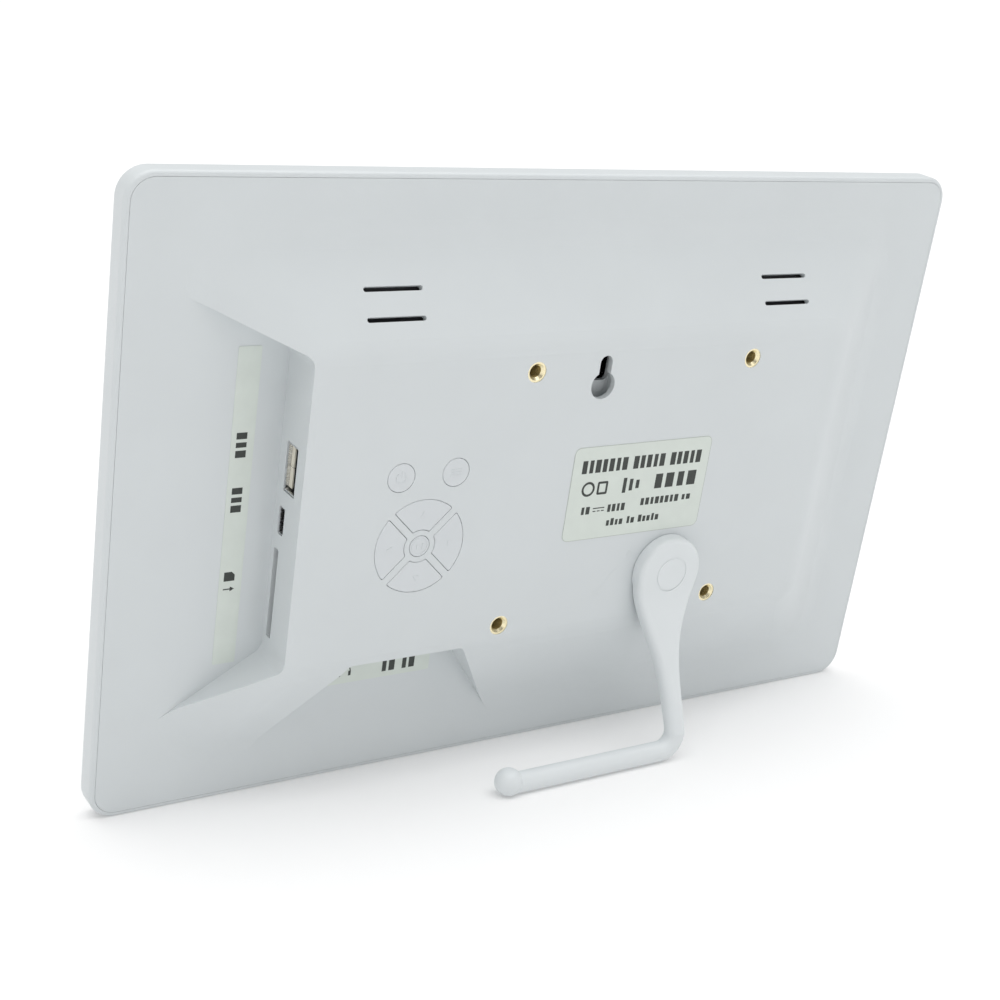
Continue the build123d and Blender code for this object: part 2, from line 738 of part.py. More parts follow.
# plastic blocks that lift the two sockets to the height of their openings
with BuildPart() as socket_stands:
    with BuildSketch(panel.offset(board_rear)):
        with Locations((socket_face + 7.5, usb_a_place[0])):
            Rectangle(11.0, 12.6)
    extrude(amount=usb_a_place[1] - usb_a_outside[1] / 2 - board_rear)
    with BuildSketch(panel.offset(board_rear)):
        with Locations((socket_face + 3.5, micro_usb_place[0])):
            Rectangle(3.2, 6.4)
    extrude(amount=micro_usb_place[1] - micro_usb_outside[1] / 2 - board_rear)
save(socket_stands.part, "socket_stands")

card_length = 20.4
card_mouth = side_plane(bay_wall_x + cover_wall + 0.1)
card_socket_spot = (card_place[0], board_rear + card_socket_size[1] / 2)
with BuildPart() as card_socket:
    with BuildSketch(card_mouth):
        with Locations(card_socket_spot):
            Rectangle(*card_socket_size)
    extrude(amount=card_length)
    with BuildSketch(card_mouth):
        with Locations(card_socket_spot):
            Rectangle(card_socket_size[0] - 2.8, card_socket_size[1] - 0.8)
    extrude(amount=card_length - 1.6, mode=Mode.SUBTRACT)
save(card_socket.part, "card_socket")

jack_face = bay_wall_y + 0.2
with BuildPart() as headphone_jack:
    with BuildSketch(under_plane(jack_face)):
        with Locations(phones_place):
            Circle(jack_nose_radius)
    extrude(amount=-2.4)
    with BuildSketch(under_plane(jack_face + 2.4)):
        with Locations((phones_place[0], board_rear + 2.9)):
            Rectangle(7.0, 5.8)
    extrude(amount=-11.0)
    with BuildSketch(under_plane(jack_face)):
        with Locations(phones_place):
            Circle(1.8)
    extrude(amount=-11.5, mode=Mode.SUBTRACT)
save(headphone_jack.part, "headphone_jack")

with BuildPart() as power_jack:
    with BuildSketch(under_plane(jack_face)):
        with Locations(power_jack_place):
            Circle(jack_nose_radius)
    extrude(amount=-2.4)
    with BuildSketch(under_plane(jack_face + 2.4)):
        with Locations((power_jack_place[0], board_rear + 3.3)):
            Rectangle(7.6, 6.6)
    extrude(amount=-9.0)
    with BuildSketch(under_plane(jack_face)):
        with Locations(power_jack_place):
            Circle(2.0)
    extrude(amount=-9.4, mode=Mode.SUBTRACT)
save(power_jack.part, "power_jack")
with BuildPart() as power_jack_pin:
    with BuildSketch(under_plane(jack_face + 1.0)):
        with Locations(power_jack_place):
            Circle(0.65)
    extrude(amount=-8.4)
    fillet(power_jack_pin.edges().group_by(Axis(panel.origin, panel.y_dir))[0], 0.3)
save(power_jack_pin.part, "power_jack_pin")

# ---- key board, switches and keys ----
with BuildPart() as key_board:
    with BuildSketch(panel.offset(key_board_rear - key_board_thickness)):
        with Locations(box_middle(key_board_box)):
            RectangleRounded(*box_size(key_board_box), 1.0)
        with Locations(*key_board_posts):
            Circle(1.2, mode=Mode.SUBTRACT)
    extrude(amount=key_board_thickness)
save(key_board.part, "key_board")
save(screws(key_board_posts, key_board_rear - key_board_thickness, 1.2, 5.0), "key_board_screws")

switch_top = key_board_rear + 3.5
plunger_top = switch_top + 0.8
with BuildPart() as switch_bodies:
    with BuildSketch(panel.offset(key_board_rear)):
        with Locations(*switch_spots):
            RectangleRounded(6.0, 6.0, 0.6)
    extrude(amount=3.5)
    with BuildSketch(panel.offset(switch_top)):
        with Locations(*switch_spots):
            Circle(1.8)
    extrude(amount=-1.6, mode=Mode.SUBTRACT)
save(switch_bodies.part, "switch_bodies")

cap_low = inner_top - 0.1
flange_low = cap_low - 1.0
flange_lip = 0.7


def key_stem(name):
    return pegs([switch_spot(name)], 1.4, plunger_top, flange_low)


for name, (centre, radius) in round_keys.items():
    with BuildPart() as key:
        with BuildSketch(panel.offset(cap_low)):
            with Locations(centre):
                Circle(radius)
        extrude(amount=plateau_depth + key_proud - cap_low)
        fillet(key.edges().group_by(panel_axis)[-1], 0.3)
        with BuildSketch(panel.offset(flange_low)):
            with Locations(centre):
                Circle(radius + flange_lip)
        extrude(amount=1.0)
        add(key_stem(name))
    save(key.part, f"{name}_key")

for name, direction in pad_directions.items():
    cap = pad_key(direction, pad_radius, pad_ring + key_gap, pad_bar + 2 * key_gap,
                  cap_low, plateau_depth + key_proud)
    flange = pad_key(direction, pad_radius + flange_lip, pad_ring + key_gap - 0.4,
                     pad_bar + 2 * key_gap - 1.4, flange_low, cap_low)
    with BuildPart() as key:
        add(cap)
        fillet(key.edges().group_by(panel_axis)[-1], 0.3)
        add(flange)
        add(key_stem(name))
    save(key.part, f"{name}_key")

for name in key_names:
    save(pegs([switch_spot(name)], 1.7, switch_top - 1.1, plunger_top), f"{name}_switch_plunger")

# ribbon from the key board to the main board
ribbon_width = 8.0
with BuildPart() as key_ribbon:
    with BuildSketch(Plane(origin=spot(0, -4.0, 0), x_dir=panel.x_dir, z_dir=-panel.y_dir)):
        with BuildLine():
            FilletPolyline((-36.5, 6.55), (-31.0, 6.55), (-29.2, 1.75), (-26.6, 1.75), radius=0.8)
        trace(line_width=0.3)
    extrude(amount=ribbon_width)
save(key_ribbon.part, "key_ribbon")

# ---- display cable ----
cable_width = 18.0
with BuildPart() as display_cable:
    with BuildSketch(Plane(origin=spot(1.0, 0, 0), x_dir=panel.y_dir, z_dir=panel.x_dir)):
        with BuildLine():
            FilletPolyline((-60.0, -2.45), (-46.0, -2.45), (-43.4, 2.65), (-38.4, 2.65), radius=1.2)
        trace(line_width=0.3)
    extrude(amount=-cable_width)
save(display_cable.part, "display_cable")
cable_connector = plate([(-8.0, -36.4)], 21.0, 4.0, board_rear, board_rear + 0.9)
save(cable_connector, "cable_connector")

# ---- speakers: frame, cone and magnet on the inside of the upper slope ----
for side, x in (("left", -speaker_x), ("right", speaker_x)):
    seat = speaker_plane(x, -cover_wall - 0.1)
    ear_seat = speaker_plane(x, -cover_wall - 1.2)
    with BuildPart() as speaker_frame:
        with BuildSketch(seat):
            SlotOverall(*speaker_size)
            SlotOverall(speaker_size[0] - 3, speaker_size[1] - 3, mode=Mode.SUBTRACT)
        extrude(amount=-3.4)
        with BuildSketch(seat.offset(-3.4)):
            SlotOverall(*speaker_size)
        extrude(amount=-0.6)
        with BuildSketch(ear_seat):
            with Locations(*ear_spots):
                Circle(2.6)
            Rectangle(ear_spacing, 4.4)
            SlotOverall(speaker_size[0] - 1, speaker_size[1] - 1, mode=Mode.SUBTRACT)
            with Locations(*ear_spots):
                Circle(1.2, mode=Mode.SUBTRACT)
        extrude(amount=-0.9)
    save(speaker_frame.part, f"{side}_speaker_frame")
    with BuildPart() as speaker_cone:
        with BuildSketch(seat.offset(-0.9)):
            SlotOverall(speaker_size[0] - 3.1, speaker_size[1] - 3.1)
        with BuildSketch(seat.offset(-2.4)):
            SlotOverall(speaker_size[0] - 12, speaker_size[1] - 9)
        loft(ruled=True)
        with BuildSketch(seat.offset(-0.9)):
            SlotOverall(speaker_size[0] - 4.5, speaker_size[1] - 4.5)
        with BuildSketch(seat.offset(-2.0)):
            SlotOverall(speaker_size[0] - 13, speaker_size[1] - 9.4)
        loft(ruled=True, mode=Mode.SUBTRACT)
    save(speaker_cone.part, f"{side}_speaker_cone")
    with BuildPart() as speaker_magnet:
        with BuildSketch(seat.offset(-4.0)):
            RectangleRounded(14.0, 8.0, 1.0)
        extrude(amount=-1.2)
    save(speaker_magnet.part, f"{side}_speaker_magnet")

with BuildPart() as speaker_screws:
    for x in (-speaker_x, speaker_x):
        ear_front = speaker_plane(x, -cover_wall - 2.1)
        with BuildSketch(ear_front):
            with Locations(*ear_spots):
                Circle(1.9)
        extrude(amount=-1.2)
        with BuildSketch(ear_front):
            with Locations(*ear_spots):
                Circle(1.0)
        extrude(amount=2.6)
save(speaker_screws.part, "speaker_screws")

# ---- speaker leads, from the back of each speaker to its plug on the main board ----
lead_radius = 0.6
lead_plugs = [(-50.5, 22.6), (-6.5, 22.6)]
lead_routes = {
    "left": [(-56, 49.2, 5.0), (-56, 47.8, 2.4), (-55, 41, 2.2), (-51.5, 33, 2.6), (-50.5, 25.15, 3.0)],
    "right": [(56, 49.2, 5.0), (56, 47.8, 2.4), (50, 42.5, 2.2), (36, 40, 2.2), (20, 42, 2.4),
              (6, 38.5, 2.5), (-5, 32.5, 2.8), (-6.5, 25.15, 3.0)],
}
for side, route in lead_routes.items():
    bends = [1.2] + [2.5] * (len(route) - 3)
    with BuildPart() as speaker_lead:
        with BuildLine() as lead_path:
            FilletPolyline(*[spot(*point) for point in route], radius=bends)
        with BuildSketch(lead_path.line ^ 0):
            Circle(lead_radius)
        sweep()
    save(speaker_lead.part, f"{side}_speaker_lead")
save(plate(lead_plugs, 5.0, 5.0, board_rear, board_rear + 3.4, 0.4), "lead_plugs")

# ---- leg: bayonet hub, round head, arm that sweeps back, foot with a ball end ----
head_low = plateau_depth + leg_gap
head_high = plateau_depth + leg_head_thickness
head_middle = (head_low + head_high) / 2
arm_top = -32.0                 # where the arm starts to sweep back
arm_sweep = 48.0                # height over which it would be level again
arm_end_slope = 0.125
arm_taper = 46.0                # height over which the head narrows into the arm
arm_thickness = head_high - head_low - 0.04
leg_bar = 2 * leg_bar_radius


def level_share(y):
    """How far the arm has swept back at a height on the panel, from 0 to 1."""
    share = min(max((arm_top - y) / arm_sweep, 0), 1)
    return 3 * share ** 2 - 2 * share ** 3


def arm_depth(y):
    return head_middle + (leg_foot_depth - head_middle) * level_share(y) / level_share(foot_y)


def arm_width(y):
    """Width of the arm, running smoothly out of the round head."""
    share = min(max((leg_pivot[1] - y) / arm_taper, 0), 1)
    return leg_bar + (2 * leg_head_radius - 0.1 - leg_bar) * (0.5 + 0.5 * cos(pi * share)) ** 2.3


def arm_slope(y):
    step = 0.5
    return (arm_depth(y - step) - arm_depth(y + step)) / (2 * step)


def arm_plane(y, depth, slope):
    """Plane across the arm, its normal running down the arm."""
    x = leg_pivot[0] + (leg_foot_x - leg_pivot[0]) * (leg_pivot[1] - y) / (leg_pivot[1] - foot_y)
    return Plane(
        origin=spot(x, y, depth), x_dir=panel.x_dir, z_dir=-panel.y_dir + panel.z_dir * slope
    )


elbow_drop = leg_bend_radius / (1 + arm_end_slope ** 2) ** 0.5
elbow_y = foot_y + elbow_drop
elbow_depth = leg_foot_depth - elbow_drop * arm_end_slope
arm_heights = [leg_pivot[1], -31.5, -36.0, -41.0, -46.0, -51.5, -57.5, -64.0]
elbow_plane = arm_plane(elbow_y, elbow_depth, arm_end_slope)
foot_plane = Plane(
    origin=elbow_plane.origin,
    x_dir=elbow_plane.z_dir,
    z_dir=elbow_plane.z_dir.cross(-panel.x_dir),
)

with BuildPart() as stand_leg:
    # round head
    with BuildSketch(panel.offset(head_low)):
        with Locations(leg_pivot):
            Circle(leg_head_radius)
    extrude(amount=head_high - head_low)
    fillet(stand_leg.edges().group_by(panel_axis)[-1], 1.5)
    fillet(stand_leg.edges().group_by(panel_axis)[0], 0.4)

    # arm
    for y in arm_heights:
        share = (y - arm_heights[0]) / (elbow_y - arm_heights[0])
        thickness = arm_thickness + (leg_bar - arm_thickness) * share
        with BuildSketch(arm_plane(y, arm_depth(y), arm_slope(y))):
            RectangleRounded(arm_width(y), thickness, 1.47 + 1.38 * share)
    with BuildSketch(elbow_plane):
        RectangleRounded(leg_bar, leg_bar, 0.96 * leg_bar_radius)
    loft()

    # bend and foot
    with BuildLine(foot_plane) as foot_path:
        JernArc((0, 0), (1, 0), leg_bend_radius, 90)
        Line((leg_bend_radius, leg_bend_radius), (leg_bend_radius, leg_foot_length))
    with BuildSketch(elbow_plane):
        RectangleRounded(leg_bar, leg_bar, 0.96 * leg_bar_radius)
    sweep(path=foot_path.line)
    with Locations(Location(foot_path.line @ 1 + panel.y_dir * (ball_y - foot_y))):
        Sphere(leg_ball_radius, rotation=(0, -90, 0))

    # hub with two bayonet lugs
    with BuildSketch(panel.offset(leg_ledge_low - leg_gap - leg_lug_height)):
        with Locations(leg_pivot):
            Circle(leg_hub_radius)
    extrude(amount=head_low - leg_ledge_low + leg_gap + leg_lug_height + 0.5)
    with BuildSketch(panel.offset(leg_ledge_low - leg_gap - leg_lug_height)):
        with Locations(leg_pivot):
            Circle(leg_lug_radius)
            Rectangle(2 * leg_lug_radius, leg_lug_width, mode=Mode.INTERSECT)
    extrude(amount=leg_lug_height)

    # hollow of the hub, and a shallow ring in the head
    with BuildSketch(panel.offset(leg_ledge_low - leg_gap - leg_lug_height)):
        with Locations(leg_pivot):
            Circle(leg_hub_radius - 2.0)
    extrude(amount=head_low - leg_ledge_low + leg_lug_height - 0.5, mode=Mode.SUBTRACT)
    with BuildSketch(panel.offset(head_high - leg_ring_depth)):
        with Locations(leg_pivot):
            Circle(leg_ring_radius + leg_ring_width / 2)
            Circle(leg_ring_radius - leg_ring_width / 2, mode=Mode.SUBTRACT)
    extrude(amount=leg_head_thickness, mode=Mode.SUBTRACT)
save(stand_leg.part, "stand_leg")
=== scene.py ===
"""Looks of the digital photo frame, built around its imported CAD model."""
import json
from math import cos, pi, radians, sin

import bmesh
import bpy
from mathutils import Matrix, Vector


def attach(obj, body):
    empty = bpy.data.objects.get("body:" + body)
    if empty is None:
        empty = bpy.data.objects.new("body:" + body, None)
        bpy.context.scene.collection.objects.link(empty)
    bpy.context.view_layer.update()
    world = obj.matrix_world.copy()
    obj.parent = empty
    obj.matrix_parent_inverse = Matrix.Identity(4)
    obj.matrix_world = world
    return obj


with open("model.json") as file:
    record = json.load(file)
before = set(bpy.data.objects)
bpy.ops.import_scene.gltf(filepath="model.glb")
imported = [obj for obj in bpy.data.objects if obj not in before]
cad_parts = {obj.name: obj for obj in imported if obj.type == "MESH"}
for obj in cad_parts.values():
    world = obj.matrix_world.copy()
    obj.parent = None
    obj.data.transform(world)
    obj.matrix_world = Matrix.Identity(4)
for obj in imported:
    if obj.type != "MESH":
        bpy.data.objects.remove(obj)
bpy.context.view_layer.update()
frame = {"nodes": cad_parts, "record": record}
record = frame["record"]
mounts = {mount["name"]: mount for mount in record["mounts"]}

MM = 0.001

# ---- the leaning panel: x to the right seen from behind, y up, z rearwards, in mm ----
INSERT_CENTRE = Vector((15.7, -0.8, 13.0))
REARWARDS = Vector(mounts["bracket_inserts"]["axis"]).normalized()
RIGHTWARDS = Vector((-1, 0, 0))
UPWARDS = REARWARDS.cross(RIGHTWARDS)
PANEL_TURN = Matrix((RIGHTWARDS, UPWARDS, REARWARDS)).transposed()
PANEL_ORIGIN = Vector(mounts["bracket_inserts"]["pos_m"]) - PANEL_TURN @ INSERT_CENTRE * MM
PANEL = Matrix.Translation(PANEL_ORIGIN) @ (PANEL_TURN * MM).to_4x4()

PLATEAU = 14.3          # depth of the raised middle
KEY_TOP = 14.45
LABEL_TOP = 0.12        # thickness of the labels
INSERT_REACH = 37.5     # half the side of the square of inserts
INSERTS = [
    (INSERT_CENTRE.x + side_x * INSERT_REACH, INSERT_CENTRE.y + side_y * INSERT_REACH)
    for side_x in (-1, 1)
    for side_y in (-1, 1)
]
INSERT_BORE = 1.65      # radius
PAD_CENTRE = (-51.4, -10.3)
PAD_REACH = 9.2         # from the pad's centre to the middle of a direction key
POWER_KEY = (-59.5, 10.0)
MENU_KEY = (-43.0, 10.1)
FOOT = (-77.16, 34.9)   # axis of the leg's foot: up the panel, depth
BALL = (-25.5, -76.27, 34.9)
BALL_RADIUS = 4.0
USB_A = (11.9, 6.8)     # sockets: up the panel, depth
MICRO_USB = (-3.3, 4.3)
SOCKET_MOUTH = -87.35   # the wall of the side bay that holds the sockets, across the panel
RATING_LABEL = (19.4, -0.6)
SIDE_LABEL_X = -98.3
BOTTOM_LABEL_Y = -54.5
PHONES_X = -61.3
POWER_X = -43.7


# ---- materials ----
def new_material(name, color, roughness, metallic=0.0, **sockets):
    """Principled material with its constant values, and its node tree and shader."""
    material = bpy.data.materials.new(name)
    material.use_nodes = True
    shader = material.node_tree.nodes["Principled BSDF"]
    shader.inputs["Base Color"].default_value = (*color, 1)
    shader.inputs["Roughness"].default_value = roughness
    shader.inputs["Metallic"].default_value = metallic
    for socket, value in sockets.items():
        shader.inputs[socket.replace("_", " ")].default_value = value
    return material, material.node_tree, shader


def object_coordinates(tree, stretch=(1, 1, 1)):
    coordinates = tree.nodes.new("ShaderNodeTexCoord")
    mapping = tree.nodes.new("ShaderNodeMapping")
    mapping.inputs["Scale"].default_value = stretch
    tree.links.new(coordinates.outputs["Object"], mapping.inputs["Vector"])
    return mapping.outputs["Vector"]


def noise(tree, vector, scale, detail=3.0, roughness=0.5):
    texture = tree.nodes.new("ShaderNodeTexNoise")
    texture.inputs["Scale"].default_value = scale
    texture.inputs["Detail"].default_value = detail
    texture.inputs["Roughness"].default_value = roughness
    tree.links.new(vector, texture.inputs["Vector"])
    return texture.outputs["Fac"]


def spread(tree, value, low, high, start=0.3, end=0.7):
    """Maps a noise value onto a range."""
    node = tree.nodes.new("ShaderNodeMapRange")
    node.inputs["From Min"].default_value = start
    node.inputs["From Max"].default_value = end
    node.inputs["To Min"].default_value = low
    node.inputs["To Max"].default_value = high
    tree.links.new(value, node.inputs["Value"])
    return node.outputs["Result"]


def tint(tree, value, dark, light):
    """Colour between two tones, by a noise value."""
    ramp = tree.nodes.new("ShaderNodeValToRGB")
    ramp.color_ramp.elements[0].position = 0.3
    ramp.color_ramp.elements[1].position = 0.7
    ramp.color_ramp.elements[0].color = (*dark, 1)
    ramp.color_ramp.elements[1].color = (*light, 1)
    tree.links.new(value, ramp.inputs["Fac"])
    return ramp.outputs["Color"]


def bump(tree, shader, height, strength, distance):
    node = tree.nodes.new("ShaderNodeBump")
    node.inputs["Strength"].default_value = strength
    node.inputs["Distance"].default_value = distance
    tree.links.new(height, node.inputs["Height"])
    tree.links.new(node.outputs["Normal"], shader.inputs["Normal"])


def shades(color, change):
    """A colour a little darker and a little lighter."""
    return (
        tuple(part * (1 - change) for part in color),
        tuple(min(1.0, part * (1 + change)) for part in color),
    )


def moulded(name, color, roughness=0.45, grain=2600.0, relief=0.00002, change=0.012):
    """Moulded plastic: fine spark-eroded grain over faint cloudy shifts of tone and gloss."""
    material, tree, shader = new_material(name, color, roughness)
    vector = object_coordinates(tree)
    clouds = noise(tree, vector, 38.0, 4.0, 0.55)
    tree.links.new(tint(tree, clouds, *shades(color, change)), shader.inputs["Base Color"])
    texture = noise(tree, vector, grain, 2.0, 0.6)
    tree.links.new(spread(tree, texture, roughness - 0.05, roughness + 0.07), shader.inputs["Roughness"])
    bump(tree, shader, texture, 0.35, relief)
    return material


def metal(name, color, roughness, stretch=(1, 1, 1), scale=1400.0, change=0.05, relief=0.00001):
    """Metal with fine drawn lines or a plated grain."""
    material, tree, shader = new_material(name, color, roughness, metallic=1.0)
    vector = object_coordinates(tree, stretch)
    lines = noise(tree, vector, scale, 3.0, 0.6)
    tree.links.new(tint(tree, lines, *shades(color, change)), shader.inputs["Base Color"])
    tree.links.new(spread(tree, lines, roughness - 0.06, roughness + 0.1), shader.inputs["Roughness"])
    bump(tree, shader, lines, 0.3, relief)
    return material


def film(name, color, roughness, change=0.02, scale=220.0):
    """Thin printed or clear film with slight waves."""
    material, tree, shader = new_material(name, color, roughness)
    vector = object_coordinates(tree)
    waves = noise(tree, vector, scale, 3.0, 0.5)
    tree.links.new(tint(tree, waves, *shades(color, change)), shader.inputs["Base Color"])
    tree.links.new(spread(tree, waves, roughness - 0.04, roughness + 0.05), shader.inputs["Roughness"])
    bump(tree, shader, waves, 0.15, 0.00003)
    return material


def printed_ink():
    """Dark ink with the faint speckle of a thermal print."""
    material, tree, shader = new_material("printed_ink", (0.028, 0.034, 0.03), 0.55)
    speckle = noise(tree, object_coordinates(tree), 5200.0, 2.0, 0.6)
    tones = tint(tree, speckle, (0.022, 0.027, 0.024), (0.045, 0.052, 0.046))
    tree.links.new(tones, shader.inputs["Base Color"])
    tree.links.new(spread(tree, speckle, 0.48, 0.64), shader.inputs["Roughness"])
    return material


def dark_glass():
    """Front of the switched-off display: a deep gloss with faint wiping marks."""
    material, tree, shader = new_material("dark_glass", (0.012, 0.013, 0.016), 0.09, Specular_IOR_Level=0.5)
    vector = object_coordinates(tree, (1.0, 1.0, 3.5))
    marks = noise(tree, vector, 16.0, 5.0, 0.6)
    tree.links.new(spread(tree, marks, 0.06, 0.16), shader.inputs["Roughness"])
    tones = tint(tree, marks, (0.010, 0.011, 0.014), (0.016, 0.017, 0.021))
    tree.links.new(tones, shader.inputs["Base Color"])
    return material


def circuit_board():
    """Green solder mask over faint copper tracks."""
    material, tree, shader = new_material("circuit_board", (0.015, 0.14, 0.06), 0.35)
    tracks = tree.nodes.new("ShaderNodeTexBrick")
    tracks.inputs["Scale"].default_value = 160.0
    tracks.inputs["Mortar Size"].default_value = 0.04
    tracks.inputs["Color1"].default_value = (0.012, 0.13, 0.055, 1)
    tracks.inputs["Color2"].default_value = (0.02, 0.17, 0.07, 1)
    tracks.inputs["Mortar"].default_value = (0.035, 0.24, 0.09, 1)
    vector = object_coordinates(tree)
    tree.links.new(vector, tracks.inputs["Vector"])
    tree.links.new(tracks.outputs["Color"], shader.inputs["Base Color"])
    gloss = noise(tree, vector, 120.0)
    tree.links.new(spread(tree, gloss, 0.3, 0.42), shader.inputs["Roughness"])
    bump(tree, shader, tracks.outputs["Fac"], 0.2, 0.00002)
    return material


WHITE = (0.63, 0.664, 0.676)
case_white = moulded("case_white", WHITE, 0.42)
leg_white = moulded("leg_white", (0.700, 0.733, 0.745), 0.40, grain=3200.0, relief=0.00001)
key_white = moulded("key_white", (0.63, 0.66, 0.678), 0.38, grain=3600.0, relief=0.00001)
brass = metal("brass", (0.86, 0.77, 0.52), 0.24, scale=2400.0, change=0.06)
# Darker brass for the insert threads and bore floors: painted shade deep in the bores.
brass_painted_shade = metal("brass_painted_shade", (0.24, 0.18, 0.07), 0.42, scale=2400.0, change=0.1)
label_film = film("label_film", (0.64, 0.69, 0.645), 0.38)
# Darker line round the rating label: painted shadow of the label's edge.
label_shadow_line = film("label_shadow_line", (0.42, 0.45, 0.42), 0.45)
ink = printed_ink()
plated_steel = metal("plated_steel", (0.72, 0.73, 0.74), 0.26, (1, 9, 1))
screw_steel = metal("screw_steel", (0.55, 0.56, 0.58), 0.34)
contact_gold = metal("contact_gold", (0.93, 0.86, 0.68), 0.2, scale=3000.0)
black_moulding = moulded("black_moulding", (0.016, 0.016, 0.018), 0.5, relief=0.000003, change=0.06)
cream_moulding = moulded("cream_moulding", (0.74, 0.71, 0.60), 0.42, relief=0.000004)

materials = {
    "case_white": case_white,
    "leg_white": leg_white,
    "key_white": key_white,
    "brass": brass,
    "label_film": label_film,
    "screen_glass": dark_glass(),
    "clear_acrylic": film("clear_acrylic", (0.88, 0.90, 0.92), 0.12),
    "led_board": moulded("led_board", (0.88, 0.85, 0.68), 0.5, change=0.05),
    "plated_steel": plated_steel,
    "screw_steel": screw_steel,
    "circuit_board": circuit_board(),
    "black_moulding": black_moulding,
    "ferrite": moulded("ferrite", (0.07, 0.07, 0.075), 0.6, grain=1500.0, change=0.15),
    "can_metal": metal("can_metal", (0.80, 0.81, 0.82), 0.28),
    "ribbon_film": film("ribbon_film", (0.62, 0.30, 0.05), 0.3, 0.1),
    "white_connector": moulded("white_connector", (0.82, 0.80, 0.72), 0.45),
    "speaker_plastic": moulded("speaker_plastic", (0.02, 0.02, 0.022), 0.55, change=0.12),
    "speaker_membrane": film("speaker_membrane", (0.035, 0.035, 0.04), 0.6, 0.2),
    "magnet": metal("magnet", (0.48, 0.49, 0.50), 0.32),
    "lead_sheath": moulded("lead_sheath", (0.35, 0.02, 0.015), 0.5, change=0.08),
    "switch_button": moulded("switch_button", (0.02, 0.02, 0.022), 0.48, change=0.1),
}
slot_of_node = {part["node"]: part["material_slot"] for part in record["subparts"]}
for node, thing in frame["nodes"].items():
    thing.data.materials.clear()
    thing.data.materials.append(materials[slot_of_node[node]])


# ---- mesh building: every shape is laid out in mm on a plane and stood on it ----
def plane_at(x, y, depth, turn=0.0):
    """Plane on the panel, turned about its normal by an angle in degrees."""
    return PANEL @ Matrix.Translation((x, y, depth)) @ Matrix.Rotation(radians(turn), 4, "Z")


def side_plane_at(x, y, depth):
    """Plane across the panel: x up the panel, y rearwards, z to the right."""
    axes = Matrix(((0, 0, 1), (1, 0, 0), (0, 1, 0))).to_4x4()
    return PANEL @ Matrix.Translation((x, y, depth)) @ axes


def prism(mesh, plane, outline, low, high, bevel=0.0):
    """Upright block with the given outline, its upper edges cut back by bevel."""
    centre = Vector((0, 0))
    for point in outline:
        centre += Vector(point) / len(outline)
    levels = [(low, 0.0), (high - bevel, 0.0)]
    if bevel > 0:
        levels.append((high, bevel))
    rings = []
    for level, inset in levels:
        ring = []
        for point in outline:
            place = Vector(point)
            reach = (place - centre).length
            if inset and reach > 0:
                place = centre + (place - centre) * max(0.2, 1 - inset / reach)
            ring.append(mesh.verts.new(plane @ Vector((*place, level))))
        rings.append(ring)
    count = len(outline)
    for lower, upper in zip(rings, rings[1:]):
        for i in range(count):
            j = (i + 1) % count
            mesh.faces.new((lower[i], lower[j], upper[j], upper[i]))
    mesh.faces.new(rings[-1])
    mesh.faces.new(list(reversed(rings[0])))


def block(mesh, plane, x, y, width, height, low, high, bevel=0.0):
    half_x, half_y = width / 2, height / 2
    outline = [
        (x - half_x, y - half_y),
        (x + half_x, y - half_y),
        (x + half_x, y + half_y),
        (x - half_x, y + half_y),
    ]
    prism(mesh, plane, outline, low, high, bevel)


def arc_points(x, y, radius, start, end, steps):
    """Points along an arc, its angles in degrees."""
    return [
        (
            x + radius * cos(radians(start + (end - start) * i / steps)),
            y + radius * sin(radians(start + (end - start) * i / steps)),
        )
        for i in range(steps + 1)
    ]


def rounded_outline(x, y, width, height, corner, steps=4):
    """Outline of a rectangle with round corners."""
    outline = []
    for side_x, side_y, start in ((1, 1, 0), (-1, 1, 90), (-1, -1, 180), (1, -1, 270)):
        centre_x = x + side_x * (width / 2 - corner)
        centre_y = y + side_y * (height / 2 - corner)
        outline += arc_points(centre_x, centre_y, corner, start, start + 90, steps)
    return outline


def band(mesh, plane, inner, outer, low, high, closed):
    """Upright strip between two lines of equally many points."""
    rows = []
    for line_a, line_b in zip(inner, outer):
        rows.append([
            mesh.verts.new(plane @ Vector((*line_a, low))),
            mesh.verts.new(plane @ Vector((*line_b, low))),
            mesh.verts.new(plane @ Vector((*line_b, high))),
            mesh.verts.new(plane @ Vector((*line_a, high))),
        ])
    pairs = list(zip(rows, rows[1:]))
    if closed:
        pairs.append((rows[-1], rows[0]))
    else:
        mesh.faces.new(rows[0])
        mesh.faces.new(list(reversed(rows[-1])))
    for first, second in pairs:
        for i in range(4):
            j = (i + 1) % 4
            mesh.faces.new((first[i], second[i], second[j], first[j]))


def arc_band(mesh, plane, x, y, radius, width, start, end, low, high, steps=24):
    closed = abs(end - start) >= 360
    inner = arc_points(x, y, radius - width / 2, start, end, steps)
    outer = arc_points(x, y, radius + width / 2, start, end, steps)
    if closed:
        inner, outer = inner[:-1], outer[:-1]
    band(mesh, plane, inner, outer, low, high, closed)


def outline_band(mesh, plane, x, y, width, height, corner, line, low, high):
    """Frame of a round-cornered rectangle, drawn with a line of the given width."""
    outer = rounded_outline(x, y, width, height, corner)
    inner = rounded_outline(x, y, width - 2 * line, height - 2 * line, max(0.05, corner - line))
    band(mesh, plane, inner, outer, low, high, True)


def finish_piece(mesh, name, body, material):
    """Turns the mesh into a piece that rides on a body."""
    bmesh.ops.remove_doubles(mesh, verts=mesh.verts, dist=1e-7)
    bmesh.ops.recalc_face_normals(mesh, faces=mesh.faces)
    data = bpy.data.meshes.new(name)
    mesh.to_mesh(data)
    mesh.free()
    data.materials.append(material)
    piece = bpy.data.objects.new(name, data)
    bpy.context.scene.collection.objects.link(piece)
    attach(piece, body)


# ---- symbols moulded on the keys ----
SYMBOL_LOW = KEY_TOP - 0.05
SYMBOL_HIGH = KEY_TOP + 0.09
SYMBOL_LINE = 0.32      # width of the strokes


